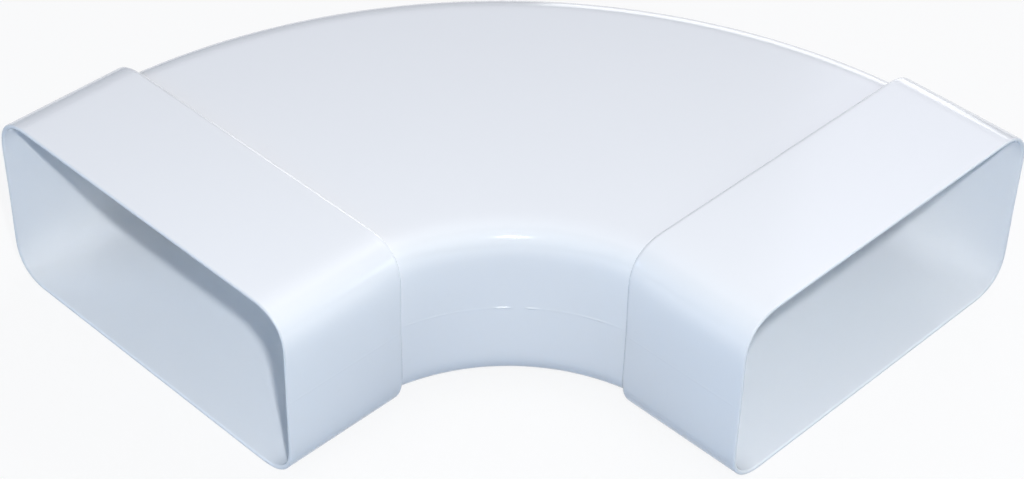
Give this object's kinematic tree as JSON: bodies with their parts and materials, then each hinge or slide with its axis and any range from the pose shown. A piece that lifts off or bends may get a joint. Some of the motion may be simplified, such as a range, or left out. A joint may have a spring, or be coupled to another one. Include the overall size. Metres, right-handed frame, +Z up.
{
  "type": "flat duct horizontal bend",
  "caption": "Flat ventilation duct bend that turns the run sideways through a right angle, with a rectangular socket at each end for a flat duct to slide into.",
  "frame": {"origin": "middle of the bounding box's bottom face, level with the undersides of the sockets", "axes": "+Z up with the bend lying flat; socket A's mouth faces -X and socket B's mouth faces -Y; the inside of the turn is towards -X -Y"},
  "size_m": [0.2584, 0.2584, 0.0738],
  "materials": {
    "white_plastic": "white, injection moulded, glossy"
  },
  "bodies": {
    "root": {"duct_bend": "white_plastic"}
  },
  "joints": []
}
